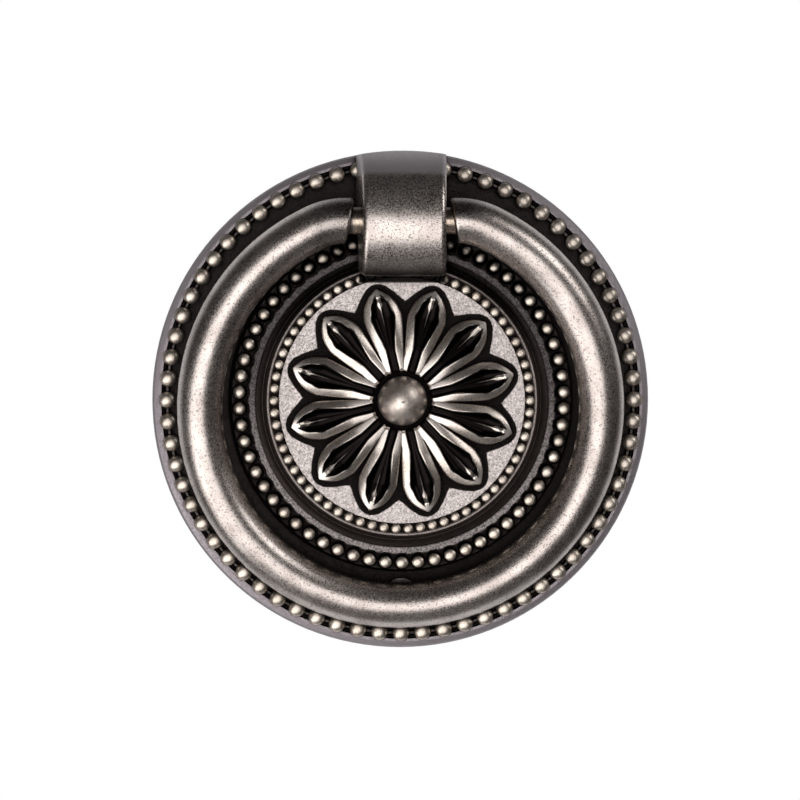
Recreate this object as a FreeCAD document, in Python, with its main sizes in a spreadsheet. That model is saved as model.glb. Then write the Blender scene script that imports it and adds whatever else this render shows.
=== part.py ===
import FreeCAD, Part
import math
import os

import Sketcher
from FreeCAD import Placement, Rotation, Vector

# Ring pull handle. The plate stands upright with its back on the XZ plane and its face towards -Y.
# The origin is the middle of the back, where the fixing screw enters. Depths below are measured
# forwards from the back plane. All sizes are in millimetres and degrees.

os.makedirs("parts", exist_ok=True)
doc = FreeCAD.newDocument("ring_pull_handle")

SIZES = [
    # rim and bead channel
    ("plate_radius", 32.0, "outer radius of the backplate"),
    ("rim_width", 1.15, "flat and rounded band outside the bead channel"),
    ("rim_depth", 2.55, "crest of the rim"),
    ("rim_round", 0.8, "rounding of the rim's outer edge"),
    ("back_chamfer", 0.3, "bevel where the rim meets the furniture"),
    ("floor_depth", 1.8, "floor of the channel that the ring lies over"),
    ("web_width", 0.7, "low cord that links the outer beads, at its foot"),
    ("web_crest", 0.3, "width of that cord along its top"),
    ("web_height", 0.5, "height of that cord"),
    # raised centre
    ("foot_radius", 22.2, "foot of the raised centre"),
    ("ledge_radius", 21.8, "outer edge of the bead ledge"),
    ("ledge_depth", 4.4, "bead ledge"),
    ("ridge_radius", 20.15, "outer edge of the scalloped ridge"),
    ("ridge_width", 1.35, "scalloped ridge, from its spurs to its inner edge"),
    ("ridge_depth", 6.2, "crest of the scalloped ridge"),
    ("cove_radius", 17.9, "deepest line of the cove"),
    ("cove_depth", 4.9, "bottom of the cove"),
    ("lip_radius", 17.35, "outer edge of the fine-bead border"),
    ("lip_width", 0.25, "lip outside the fine beads"),
    ("lip_depth", 6.15, "crest of that lip"),
    ("border_depth", 5.85, "floor under the fine beads"),
    ("disc_radius", 15.8, "stippled disc round the rosette"),
    ("disc_depth", 6.2, "face of that disc"),
    # bead rings
    ("outer_bead_circle", 30.1, "pitch radius of the outer beads"),
    ("outer_bead_radius", 1.07, "outer bead"),
    ("outer_bead_lift", 0.35, "centre of an outer bead above the channel floor"),
    ("outer_bead_count", 68, "outer beads"),
    ("inner_bead_circle", 20.85, "pitch radius of the middle beads"),
    ("inner_bead_radius", 0.95, "middle bead"),
    ("inner_bead_lift", 0.3, "centre of a middle bead above its ledge"),
    ("inner_bead_count", 62, "middle beads"),
    ("socket_radius", 1.35, "scallop cut into the ridge behind each middle bead"),
    ("seat", 0.5, "how far the carving is sunk into the face that carries it"),
    ("fine_bead_circle", 16.45, "pitch radius of the fine beads"),
    ("fine_bead_radius", 0.6, "fine bead"),
    ("fine_bead_lift", 0.15, "centre of a fine bead above its floor"),
    ("fine_bead_count", 66, "fine beads"),
    # rosette
    ("dome_radius", 3.25, "button in the middle"),
    ("dome_height", 3.8, "button above the disc"),
    ("dome_skirt", 0.7, "straight side of the button"),
    ("petal_count", 12, "petals"),
    ("petal_turn", -13.3, "first petal, clockwise from the top"),
    ("petal_tip", 14.6, "tip of a petal from the middle"),
    ("petal_root", 3.9, "inner end of a petal"),
    ("petal_shoulder", 10.8, "where a petal is widest"),
    ("petal_half_width", 2.45, "half of a petal's greatest width"),
    ("petal_height", 1.75, "crest of a petal above the disc"),
    ("petal_crown", 4.0, "radius of a petal's rounded back across its width"),
    ("petal_bow", 20.5, "radius of a petal's back along its length"),
    ("petal_crest", 8.6, "highest point of a petal from the middle"),
    ("hub_radius", 5.4, "where neighbouring petals join"),
    ("hub_height", 1.3, "height of that join above the disc"),
    ("hub_bevel", 0.45, "bevel of the join beside the button"),
    ("petal_slot", 0.12, "half of the narrow gap between neighbouring petals"),
    ("petal_nose", 0.38, "half width of a petal's blunt tip"),
    ("scoop_root", 3.5, "inner end of the hollows in a petal"),
    ("scoop_neck", 6.6, "where the hollows start to widen"),
    ("scoop_belly", 11.0, "where the hollows are widest"),
    ("scoop_shoulder", 12.9, "where the hollows start to close towards the tip"),
    ("scoop_tip", 14.0, "outer end of the hollows"),
    ("scoop_throat", 0.4, "radius of a hollow from its inner end to its neck"),
    ("scoop_radius", 1.0, "radius of a hollow at its widest"),
    ("scoop_split", 0.16, "distance of a hollow from the vein at its inner end"),
    ("scoop_spread", 0.48, "distance of a hollow from the vein at its widest"),
    ("scoop_sink", 0.3, "axis of the hollows below the crest of a petal"),
    # lug
    ("lug_width", 11.8, "lug across its foot"),
    ("lug_draft", 2.4, "draft of each cheek, degrees"),
    ("lug_bottom", 16.0, "lower end of the lug above the middle"),
    ("lug_arc_depth", 5.9, "centre of the lug's front curve"),
    ("lug_arc_height", 22.8, "centre of the lug's front curve above the middle"),
    ("lug_arc_radius", 9.4, "front curve of the lug"),
    ("lug_nose", 1.8, "rounding of the lug's lower end"),
    ("lug_edge", 0.65, "rounding of the lug's side edges"),
    # hinge
    ("pivot_height", 23.05, "hinge axis above the middle"),
    ("pivot_depth", 11.6, "hinge axis in front of the back"),
    ("journal_radius", 1.7, "turned-down end of the ring"),
    ("journal_clearance", 0.06, "running clearance round the journal"),
    ("journal_reach", 2.8, "tip of a journal from the middle plane"),
    ("journal_end_gap", 0.5, "gap past the tip of a journal"),
    # ring
    ("ring_radius", 25.7, "ring, to the middle of its bar"),
    ("bar_radius", 2.9, "bar of the ring"),
    ("ring_drop", 24.1, "centre of the ring below its hinge axis"),
    ("ring_tilt", 7.3, "lean of the ring against its rest pad, degrees"),
    ("elbow_angle", 25.0, "where the ring starts to level out, from its top, degrees"),
    ("bar_end", 6.6, "end of the bar from the middle plane, on its axis"),
    ("bar_end_slant", 10.7, "slant of the bar's ends, degrees"),
    ("bar_end_round", 0.45, "rounding of the bar's ends"),
    ("ring_play", 0.25, "how far the ring hangs to the left within its end gaps"),
    # rest pad
    ("pad_radius", 2.2, "round rest pad under the bottom of the ring"),
    ("pad_drop", 25.15, "middle of the rest pad below the middle of the plate"),
    ("pad_depth", 3.3, "top of the rest pad where the ring leaves it free"),
    ("pad_clearance", 0.12, "gap between the ring and its pad"),
    # hollow back and fixing
    ("hollow_radius", 20.3, "hollow in the back"),
    ("hollow_wall", 1.7, "wall over the hollow"),
    ("hollow_step", 1.1, "inward step of the hollow's side"),
    ("post_radius", 4.2, "post round the fixing hole"),
    ("hole_radius", 1.65, "tapping bore of the fixing hole"),
    ("hole_depth", 8.2, "fixing hole, up into the button"),
    ("hole_cone", 0.9, "drill point past the hole"),
]


class Dim:
    """A length with its value and the sheet formula that drives it."""

    def __init__(self, value, text=None):
        self.value = float(value)
        self.text = text if text is not None else repr(float(value))

    def __add__(self, other):
        other = dim(other)
        return Dim(self.value + other.value, "(%s + %s)" % (self.text, other.text))

    def __sub__(self, other):
        other = dim(other)
        return Dim(self.value - other.value, "(%s - %s)" % (self.text, other.text))

    def __mul__(self, other):
        other = dim(other)
        return Dim(self.value * other.value, "(%s * %s)" % (self.text, other.text))

    def __truediv__(self, other):
        other = dim(other)
        return Dim(self.value / other.value, "(%s / %s)" % (self.text, other.text))

    def __neg__(self):
        return Dim(-self.value, "(0 - %s)" % self.text)

    def root(self):
        return Dim(math.sqrt(self.value), "sqrt(%s)" % self.text)


def dim(x):
    return x if isinstance(x, Dim) else Dim(x)


def trig(name, angle):
    """Sine, cosine or tangent of an angle in degrees, as a Dim."""
    value = getattr(math, name)(math.radians(angle.value))
    return Dim(value, "%s(%s * 1 deg)" % (name, angle.text))


class Sheet:
    """Reads each named size as a Dim."""


sheet = doc.addObject("Spreadsheet::Sheet", "Sizes")
size = Sheet()
for row, (alias, value, note) in enumerate(SIZES, start=1):
    sheet.set("A%d" % row, alias)
    sheet.set("B%d" % row, str(value))
    sheet.set("C%d" % row, note)
    sheet.setAlias("B%d" % row, alias)
    setattr(size, alias, Dim(value, "Sizes.%s" % alias))
doc.recompute()


# Helpers

def new_body(name):
    body = doc.addObject("PartDesign::Body", name)
    body.Label = name
    return body


def origin_plane(body, role):
    return next(f for f in body.Origin.OriginFeatures if f.Role == role)


def new_sketch(body, name, role):
    sketch = body.newObject("Sketcher::SketchObject", name)
    sketch.AttachmentSupport = [(origin_plane(body, role), "")]
    sketch.MapMode = "FlatFace"
    return sketch


def drive(sketch, kind, refs, length, name):
    """One driving constraint, bound to the sheet."""
    index = sketch.addConstraint(Sketcher.Constraint(kind, *refs, length.value))
    sketch.renameConstraint(index, name)
    sketch.setExpression("Constraints.%s" % name, length.text)


def pin(sketch, geo, end, x, y, name):
    """Holds one point of a sketch at driven coordinates, or on an axis where one is None."""
    for kind, length, axis in (("DistanceX", x, -2), ("DistanceY", y, -1)):
        if length is None:
            sketch.addConstraint(Sketcher.Constraint("PointOnObject", geo, end, axis))
        else:
            drive(sketch, kind, (-1, 1, geo, end), length, "%s_%s" % (name, kind[-1].lower()))


def arc_between(p, q, radius, left):
    """Arc from p to q with its centre on the given side, and whether it starts at p."""
    chord = q - p
    half = chord.Length / 2
    across = Vector(-chord.y, chord.x, 0).normalize()
    rise = math.sqrt(max(radius * radius - half * half, 0))
    centre = (p + q) * 0.5 + across * (rise if left else -rise)
    first, last = (p, q) if left else (q, p)
    start = math.atan2(first.y - centre.y, first.x - centre.x)
    stop = math.atan2(last.y - centre.y, last.x - centre.x)
    if stop < start:
        stop += 2 * math.pi
    circle = Part.Circle(centre, Vector(0, 0, 1), radius)
    return Part.ArcOfCircle(circle, start, stop), left


def outline(sketch, corners):
    """Closed outline. Each corner is (x, y) or (x, y, radius, left) where an arc leads on from it."""
    spot = [Vector(c[0].value if c[0] else 0, c[1].value if c[1] else 0, 0) for c in corners]
    starts, ends = [], []
    for i, corner in enumerate(corners):
        p, q = spot[i], spot[(i + 1) % len(spot)]
        if len(corner) == 4:
            arc, forward = arc_between(p, q, corner[2].value, corner[3])
            geo = sketch.addGeometry(arc)
            starts.append((geo, 1 if forward else 2))
            ends.append((geo, 2 if forward else 1))
        else:
            geo = sketch.addGeometry(Part.LineSegment(p, q))
            starts.append((geo, 1))
            ends.append((geo, 2))
    for i in range(len(corners)):
        nxt = (i + 1) % len(corners)
        sketch.addConstraint(Sketcher.Constraint("Coincident", *ends[i], *starts[nxt]))
    for i, corner in enumerate(corners):
        pin(sketch, *starts[i], corner[0], corner[1], "p%d" % i)
        if len(corner) == 4:
            drive(sketch, "Radius", (starts[i][0],), corner[2], "r%d" % i)


def feature(name, shape):
    obj = doc.addObject("Part::Feature", name)
    obj.Label = name
    obj.Shape = shape
    return obj


def around(shape, count, turn=0.0):
    """Copies of a shape about the plate's axis, clockwise from the top as seen from the front."""
    copies = []
    for k in range(count):
        copy = shape.copy()
        copy.rotate(Vector(0, 0, 0), Vector(0, 1, 0), turn + 360.0 * k / count)
        copies.append(copy)
    return copies


# Turned body of the plate

def plate_body():
    """Front profile, hollow back and screw post in one revolution about the Y axis."""
    s = size
    body = new_body("plate")
    sketch = new_sketch(body, "plate_profile", "XY_Plane")
    web_half = s.web_width * 0.5
    web_top = s.web_crest * 0.5
    roof = s.disc_depth - s.hollow_wall
    dome_top = s.disc_depth + s.dome_height
    wall_deep = s.ledge_depth - s.hollow_wall
    # radius of the sphere whose cap has the button's radius and height
    rise = s.dome_height - s.dome_skirt
    ball = (s.dome_radius * s.dome_radius + rise * rise) / (rise * 2)
    front = [
        (None, dome_top, ball, False),
        (s.dome_radius, s.disc_depth + s.dome_skirt),
        (s.dome_radius, s.disc_depth),
        (s.disc_radius, s.disc_depth),
        (s.disc_radius, s.border_depth),
        (s.lip_radius - s.lip_width, s.border_depth),
        (s.lip_radius - s.lip_width, s.lip_depth),
        (s.lip_radius, s.lip_depth),
        (s.cove_radius, s.cove_depth),
        (s.ridge_radius - s.ridge_width, s.ridge_depth),
        (s.ridge_radius, s.ridge_depth),
        (s.ridge_radius, s.ledge_depth),
        (s.ledge_radius, s.ledge_depth),
        (s.foot_radius, s.floor_depth),
        (s.outer_bead_circle - web_half, s.floor_depth),
        (s.outer_bead_circle - web_top, s.floor_depth + s.web_height),
        (s.outer_bead_circle + web_top, s.floor_depth + s.web_height),
        (s.outer_bead_circle + web_half, s.floor_depth),
        (s.plate_radius - s.rim_width, s.floor_depth),
        (s.plate_radius - s.rim_width, s.rim_depth),
        (s.plate_radius - s.rim_round, s.rim_depth),
        (s.plate_radius - s.rim_round * 0.3, s.rim_depth - s.rim_round * 0.3),
        (s.plate_radius, s.rim_depth - s.rim_round),
        (s.plate_radius, s.back_chamfer),
        (s.plate_radius - s.back_chamfer, None),
        (s.hollow_radius, None),
        (s.hollow_radius - s.hollow_step * 0.5, wall_deep),
        (s.hollow_radius - s.hollow_step * 3, wall_deep),
        (s.hollow_radius - s.hollow_step * 4, roof),
        (s.post_radius, roof),
        (s.post_radius, None),
        (s.hole_radius, None),
        (s.hole_radius, s.hole_depth),
        (None, s.hole_depth + s.hole_cone),
    ]
    corners = []
    for corner in front:
        x, depth = corner[0], corner[1]
        y = None if depth is None else -depth
        # the sketch's vertical axis points to the back, so depths and turns are mirrored
        corners.append((x, y) + ((corner[2], not corner[3]) if len(corner) == 4 else ()))
    outline(sketch, corners)
    turned = body.newObject("PartDesign::Revolution", "turned")
    turned.Profile = sketch
    turned.ReferenceAxis = (sketch, ["V_Axis"])
    turned.Angle = 360.0
    doc.recompute()
    return body


# Beads

def faceted(rings):
    """A closed solid of flat facets through rings of points; a ring of one point is a tip."""
    faces = []
    for end in (rings[0], rings[-1]):
        if len(end) > 1:
            faces.append(Part.Face(Part.makePolygon(end + end[:1])))
    for low, high in zip(rings, rings[1:]):
        sides = max(len(low), len(high))
        for k in range(sides):
            n = (k + 1) % sides
            loop = [low[k % len(low)], low[n % len(low)], high[n % len(high)], high[k % len(high)]]
            loop = [p for i, p in enumerate(loop) if i == 0 or (p - loop[i - 1]).Length > 1e-9]
            if (loop[0] - loop[-1]).Length < 1e-9:
                loop.pop()
            faces.append(Part.Face(Part.makePolygon(loop + loop[:1])))
    skin = Part.Compound(faces)
    skin.sewShape()
    solid = Part.Solid(Part.Shell(skin.Faces))
    if solid.Volume < 0:
        solid.reverse()
    return solid


def bead(radius, circle, centre_depth, sides, levels):
    """A bead of flat facets at the top of its circle, its crown towards the front."""
    swell = 1.0 / math.sqrt(math.cos(math.pi / sides))
    rings = []
    for level in levels:
        across = radius * swell * math.cos(math.radians(level))
        depth = centre_depth + radius * math.sin(math.radians(level))
        rings.append([
            Vector(across * math.cos(2 * math.pi * (k + 0.5) / sides), -depth,
                   circle + across * math.sin(2 * math.pi * (k + 0.5) / sides))
            for k in range(sides)
        ])
    return faceted(rings)


def bead_ring(name, floor, sides, levels, phase=0.0):
    """One ring of beads, each seated in the face that carries it."""
    radius = getattr(size, name + "_bead_radius").value
    circle = getattr(size, name + "_bead_circle").value
    lift = getattr(size, name + "_bead_lift").value
    count = int(getattr(size, name + "_bead_count").value)
    one = bead(radius, circle, floor.value + lift, sides, levels)
    return around(one, count, phase * 360.0 / count)


def sockets():
    """Scallops that the middle beads cut into the outer edge of the ridge."""
    s = size
    sides = 10
    radius, floor = s.socket_radius.value, s.ledge_depth.value
    ring = []
    for k in range(sides):
        turn = 2 * math.pi * k / sides
        across = radius * math.cos(turn)
        up = s.inner_bead_circle.value + radius * math.sin(turn)
        ring.append(Vector(across, -floor, up))
    through = s.ridge_depth.value - floor + 1
    prism = Part.Face(Part.makePolygon(ring + ring[:1])).extrude(Vector(0, -through, 0))
    return around(prism, int(s.inner_bead_count.value))


# Rosette

def petal_blank():
    """One petal pointing up: its outline, under a back that is rounded both ways."""
    s = size
    tip, root = s.petal_tip.value, s.petal_root.value
    shoulder, half = s.petal_shoulder.value, s.petal_half_width.value
    pitch = math.radians(180.0 / s.petal_count.value)
    slot, nose = s.petal_slot.value, s.petal_nose.value
    narrow = root * math.tan(pitch) - slot
    middle = 0.5 * (root + shoulder)
    swell = middle * math.tan(pitch) - slot * 1.4
    right = [Vector(narrow, 0, root), Vector(half, 0, shoulder), Vector(nose, 0, tip - nose / 2)]
    left = [Vector(-p.x, 0, p.z) for p in right]
    flank = half * 0.70
    edges = [
        Part.Arc(right[0], Vector(swell, 0, middle), right[1]).toShape(),
        Part.Arc(right[1], Vector(flank, 0, shoulder + 0.6 * (tip - shoulder)), right[2]).toShape(),
        Part.Arc(right[2], Vector(0, 0, tip), left[2]).toShape(),
        Part.Arc(left[2], Vector(-flank, 0, shoulder + 0.6 * (tip - shoulder)), left[1]).toShape(),
        Part.Arc(left[1], Vector(-swell, 0, middle), left[0]).toShape(),
        Part.LineSegment(left[0], right[0]).toShape(),
    ]
    base = s.disc_depth.value - s.seat.value
    face = Part.Face(Part.Wire(edges))
    prism = face.extrude(Vector(0, -(s.petal_height.value + 1.5), 0))
    prism.translate(Vector(0, -base, 0))
    return prism.common(petal_back())


def petal_back():
    """The rounded back of a petal: the crown of a large ring that stands across the plate."""
    s = size
    crown, bow = s.petal_crown.value, s.petal_bow.value
    top = s.disc_depth.value + s.petal_height.value
    centre = Vector(0, -(top - bow), s.petal_crest.value)
    return Part.makeTorus(bow - crown, crown, centre, Vector(1, 0, 0))


def scoop(side):
    """One of the two hollows of a petal: a spindle that swells outwards and closes near the tip."""
    s = size
    sides = 10
    stations = [
        (s.scoop_root, s.scoop_throat, s.scoop_split),
        (s.scoop_neck, s.scoop_throat, s.scoop_split),
        (s.scoop_belly, s.scoop_radius, s.scoop_spread),
        (s.scoop_shoulder, s.scoop_radius * 0.76, s.scoop_spread * 0.76),
    ]
    rings = []
    for along, radius, offset in stations:
        ring = []
        for k in range(sides):
            turn = 2 * math.pi * k / sides
            x = side * (offset.value + radius.value * math.cos(turn))
            ring.append(Vector(x, side * radius.value * math.sin(turn), along.value))
        rings.append(ring)
    rings.append([Vector(side * s.scoop_split.value, 0, s.scoop_tip.value)])
    spindle = faceted(rings)
    crest = s.disc_depth.value + s.petal_height.value
    spindle.translate(Vector(0, s.scoop_sink.value - crest, 0))
    return spindle


def rosette():
    """Twelve petals that join in a low hub round the button, each with two hollows and a vein."""
    s = size
    count, turn = int(s.petal_count.value), s.petal_turn.value
    top = s.disc_depth.value + s.hub_height.value
    base = s.disc_depth.value - s.seat.value
    inner, outer, bevel = s.petal_root.value, s.hub_radius.value, s.hub_bevel.value
    ring = [
        Vector(inner, -base, 0), Vector(outer + bevel / 2, -base, 0), Vector(outer, -top, 0),
        Vector(inner + bevel, -top, 0), Vector(inner, -top + bevel, 0),
    ]
    hub = Part.Face(Part.makePolygon(ring + ring[:1]))
    hub = hub.revolve(Vector(0, 0, 0), Vector(0, 1, 0), 360)
    blank = hub.fuse(around(petal_blank(), count, turn))
    hollows = []
    for side in (1, -1):
        hollows += around(scoop(side), count, turn)
    return blank.cut(hollows)


# Lug

def lug_body():
    """The ear that grows out of the rim, over the ring's journals and down to the centre."""
    s = size
    body = new_body("lug")
    side = new_sketch(body, "lug_side", "YZ_Plane")
    centre_d, centre_h, radius = s.lug_arc_depth, s.lug_arc_height, s.lug_arc_radius
    # the front curve starts level over the plate's edge and runs smoothly into the rounded nose
    top = centre_h + radius
    inner = radius - s.lug_nose
    nose_fall = s.lug_bottom + s.lug_nose - centre_h
    nose_run = (inner * inner - nose_fall * nose_fall).root()
    inside = s.floor_depth * 0.5
    behind = s.ledge_depth + s.seat * 0.4
    corners = [
        (-centre_d, top, radius),
        (-(centre_d + nose_run * radius / inner), centre_h + nose_fall * radius / inner, s.lug_nose),
        (-(centre_d + nose_run), s.lug_bottom),
        (-behind, s.lug_bottom + s.seat),
        (-behind, s.ridge_radius),
        (-inside, s.foot_radius),
        (-inside, top),
    ]
    # in this sketch the front lies to the left, so an arc over the front turns anticlockwise
    outline(side, [c + (True,) if len(c) == 3 else c for c in corners])
    pad = body.newObject("PartDesign::Pad", "lug_block")
    pad.Profile = side
    pad.Midplane = True
    pad.setExpression("Length", "Sizes.lug_width")
    doc.recompute()

    draft = new_sketch(body, "lug_draft", "XY_Plane")
    reach = s.lug_arc_depth + s.lug_arc_radius + 2
    half = s.lug_width * 0.5
    lean = trig("tan", s.lug_draft)
    for k, sign in enumerate((1, -1)):
        wide = half if sign > 0 else -half
        tip = half - reach * lean
        narrow = tip if sign > 0 else -tip
        far = half + 2 if sign > 0 else -(half + 2)
        base = draft.GeometryCount
        points = [(wide, None), (narrow, -reach), (far, -reach), (far, None)]
        spots = [Vector(x.value, y.value if y else 0, 0) for x, y in points]
        for i in range(4):
            draft.addGeometry(Part.LineSegment(spots[i], spots[(i + 1) % 4]))
        for i in range(4):
            draft.addConstraint(
                Sketcher.Constraint("Coincident", base + i, 2, base + (i + 1) % 4, 1))
            pin(draft, base + i, 1, points[i][0], points[i][1], "q%d%d" % (k, i))
    trim = body.newObject("PartDesign::Pocket", "lug_cheeks")
    trim.Profile = draft
    trim.Type = "ThroughAll"
    trim.Midplane = True
    doc.recompute()

    rounded = body.newObject("PartDesign::Fillet", "lug_edges")
    names = []
    for i, edge in enumerate(trim.Shape.Edges, start=1):
        # the front curve and the nose meet the sloping cheeks in parts of ellipses
        on_front = edge.Curve.TypeId == "Part::GeomEllipse"
        if on_front and all(-v.Point.y > centre_d.value - 0.1 for v in edge.Vertexes):
            names.append("Edge%d" % i)
    rounded.Base = (trim, names)
    rounded.setExpression("Radius", "Sizes.lug_edge")
    doc.recompute()
    return body


def journal_bores():
    """Two blind holes in the lug's cheeks, where the ends of the ring are sprung in."""
    s = size
    radius = s.journal_radius.value + s.journal_clearance.value
    near = s.journal_reach.value - s.journal_end_gap.value
    far = s.lug_width.value / 2 + 1
    holes = []
    for sign in (1, -1):
        start = Vector(sign * near, -s.pivot_depth.value, s.pivot_height.value)
        holes.append(Part.makeCylinder(radius, far - near, start, Vector(sign, 0, 0)))
    return holes


# Ring

def elbow_radius():
    """Radius of the bend that brings the bar level with the hinge axis."""
    s = size
    angle = math.radians(s.elbow_angle.value)
    return (s.ring_drop.value - s.ring_radius.value * math.cos(angle)) / (1 - math.cos(angle))


def ring_placement():
    s = size
    base = Vector(-s.ring_play.value, -s.pivot_depth.value, s.pivot_height.value)
    return Placement(base, Rotation(Vector(1, 0, 0), s.ring_tilt.value))


def ring_body():
    """The bar follows one path: level end, elbow, great arc, elbow, level end.

    The body's own origin is the middle of the hinge axis, and the ring hangs down from it.
    """
    s = size
    body = new_body("ring")
    path = new_sketch(body, "ring_path", "XZ_Plane")
    drop, big = s.ring_drop, s.ring_radius
    cos, sin = trig("cos", s.elbow_angle), trig("sin", s.elbow_angle)
    small = Dim(elbow_radius(), "((%s - %s * %s) / (1 - %s))" % (drop.text, big.text, cos.text, cos.text))
    join_x, join_z = big * sin, big * cos - drop
    level_x = (big - small) * sin
    end_x = s.bar_end - 1.2
    right = [(end_x, None), (level_x, None), (join_x, join_z)]
    line_r = path.addGeometry(Part.LineSegment(Vector(end_x.value, 0, 0), Vector(level_x.value, 0, 0)))
    angle = math.radians(s.elbow_angle.value)
    elbow_c = Vector(level_x.value, -small.value, 0)
    up = math.pi / 2
    elbow_r = path.addGeometry(Part.ArcOfCircle(
        Part.Circle(elbow_c, Vector(0, 0, 1), small.value), up - angle, up))
    great = path.addGeometry(Part.ArcOfCircle(
        Part.Circle(Vector(0, -drop.value, 0), Vector(0, 0, 1), big.value),
        up + angle, 2 * math.pi + up - angle))
    elbow_l = path.addGeometry(Part.ArcOfCircle(
        Part.Circle(Vector(-level_x.value, -small.value, 0), Vector(0, 0, 1), small.value),
        up, up + angle))
    line_l = path.addGeometry(Part.LineSegment(Vector(-level_x.value, 0, 0), Vector(-end_x.value, 0, 0)))
    joints = [((line_r, 2), (elbow_r, 2)), ((elbow_r, 1), (great, 2)),
              ((great, 1), (elbow_l, 2)), ((elbow_l, 1), (line_l, 1))]
    for a, b in joints:
        path.addConstraint(Sketcher.Constraint("Coincident", *a, *b))
    points = [((line_r, 1), right[0]), ((line_r, 2), right[1]), ((elbow_r, 1), right[2])]
    points += [((line_l, 2), (-right[0][0], None)), ((line_l, 1), (-right[1][0], None)),
               ((elbow_l, 2), (-right[2][0], right[2][1]))]
    for k, ((geo, end), (x, y)) in enumerate(points):
        pin(path, geo, end, x, y, "k%d" % k)
    for geo, radius, name in ((elbow_r, small, "er"), (elbow_l, small, "el"), (great, big, "gr")):
        drive(path, "Radius", (geo,), radius, name)
    doc.recompute()

    section = new_sketch(body, "ring_section", "YZ_Plane")
    section.setExpression(".AttachmentOffset.Base.z", end_x.text)
    section.addGeometry(Part.Circle(Vector(0, 0, 0), Vector(0, 0, 1), s.bar_radius.value))
    section.addConstraint(Sketcher.Constraint("Coincident", 0, 3, -1, 1))
    drive(section, "Radius", (0,), s.bar_radius, "bar_size")
    doc.recompute()
    bar = body.newObject("PartDesign::AdditivePipe", "bar")
    bar.Profile = section
    bar.Spine = (path, [])
    doc.recompute()

    ends = new_sketch(body, "bar_ends", "XZ_Plane")
    lean = trig("tan", s.bar_end_slant)
    tall = s.bar_radius + 1
    top_x = s.bar_end - tall * lean
    low_x = s.bar_end + tall * lean
    corners = [(top_x, tall), (low_x, -tall), (-low_x, -tall), (-top_x, tall)]
    outline(ends, corners)
    trim = body.newObject("PartDesign::Pocket", "slanted_ends")
    trim.Profile = ends
    trim.Type = "ThroughAll"
    trim.Midplane = True
    doc.recompute()

    rounded = body.newObject("PartDesign::Fillet", "bar_end_edges")
    names = []
    for i, edge in enumerate(trim.Shape.Edges, start=1):
        if edge.Curve.TypeId == "Part::GeomEllipse":
            names.append("Edge%d" % i)
    rounded.Base = (trim, names)
    rounded.setExpression("Radius", "Sizes.bar_end_round")
    doc.recompute()

    peg = new_sketch(body, "journal_section", "YZ_Plane")
    peg.addGeometry(Part.Circle(Vector(0, 0, 0), Vector(0, 0, 1), s.journal_radius.value))
    peg.addConstraint(Sketcher.Constraint("Coincident", 0, 3, -1, 1))
    drive(peg, "Radius", (0,), s.journal_radius, "journal_size")
    rod = body.newObject("PartDesign::Pad", "journals")
    rod.Profile = peg
    rod.Midplane = True
    rod.setExpression("Length", "2 * (Sizes.bar_end + 0.6)")
    doc.recompute()

    gap = new_sketch(body, "journal_gap", "XZ_Plane")
    reach, high = s.journal_reach, s.journal_radius + 1
    outline(gap, [(reach, high), (reach, -high), (-reach, -high), (-reach, high)])
    split = body.newObject("PartDesign::Pocket", "journal_gap_cut")
    split.Profile = gap
    split.Type = "ThroughAll"
    split.Midplane = True
    doc.recompute()
    body.Tip = split
    body.Placement = ring_placement()
    doc.recompute()
    return body


# Rest pad

def rest_pad():
    """The round nub in the channel that the ring comes to rest on, hollowed to its bar."""
    s = size
    base = s.floor_depth.value - s.seat.value
    nub = Part.makeCylinder(s.pad_radius.value, s.pad_depth.value - base,
                            Vector(0, -base, -s.pad_drop.value), Vector(0, -1, 0))
    around_bar = Part.makeTorus(s.ring_radius.value, s.bar_radius.value + s.pad_clearance.value,
                                Vector(0, 0, -s.ring_drop.value), Vector(0, 1, 0))
    around_bar.Placement = ring_placement().multiply(around_bar.Placement)
    return nub.cut(around_bar)


# One casting

def backplate():
    """Plate, lug, pad, beads and rosette are one casting."""
    s = size
    plate = plate_body()
    lug = lug_body()
    crown = feature("carving", rosette())
    pad = feature("rest_pad", rest_pad())
    plain = plate.Shape.cut(sockets())
    plain = plain.fuse(bead_ring("outer", s.floor_depth, 10, (-22, 18, 54, 78)))
    plain = plain.fuse(bead_ring("fine", s.border_depth, 8, (-20, 30, 68), phase=0.5))
    plain = plain.fuse(bead_ring("inner", s.ledge_depth, 8, (-22, 22, 60, 80)))
    beaded = feature("beaded_plate", plain)
    edge = doc.addObject("Part::Cylinder", "plate_edge")
    edge.setExpression("Radius", "Sizes.plate_radius")
    edge.setExpression("Height", (s.lug_arc_depth + s.lug_arc_radius + 1).text)
    edge.Placement = Placement(Vector(0, 0, 0), Rotation(Vector(1, 0, 0), 90))
    flush = doc.addObject("Part::Common", "flush_lug")
    flush.Base = lug
    flush.Tool = edge
    flush.Refine = False
    joined = doc.addObject("Part::MultiFuse", "joined")
    joined.Shapes = [beaded, flush, crown, pad]
    joined.Refine = False
    bores = feature("bores", Part.makeCompound(journal_bores()))
    cast = doc.addObject("Part::Cut", "backplate")
    cast.Base = joined
    cast.Tool = bores
    cast.Refine = False
    cast.Label = "backplate"
    doc.recompute()
    return cast


def checked(nodes):
    doc.recompute()
    bad = [o.Name for o in doc.Objects if "Invalid" in o.State or "Error" in o.State]
    if bad:
        raise RuntimeError("not built: %s" % bad)
    for node in nodes:
        shape = node.Shape
        if shape.isNull() or not shape.isValid() or len(shape.Solids) != 1:
            raise RuntimeError("%s is not one valid solid (%d)" % (node.Label, len(shape.Solids)))


parts = [backplate(), ring_body()]
checked(parts)
for part in parts:
    part.Shape.exportStep("parts/%s.step" % part.Label)
    print(part.Label, "volume", round(part.Shape.Volume, 2), "faces", len(part.Shape.Faces))
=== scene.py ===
import math

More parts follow.
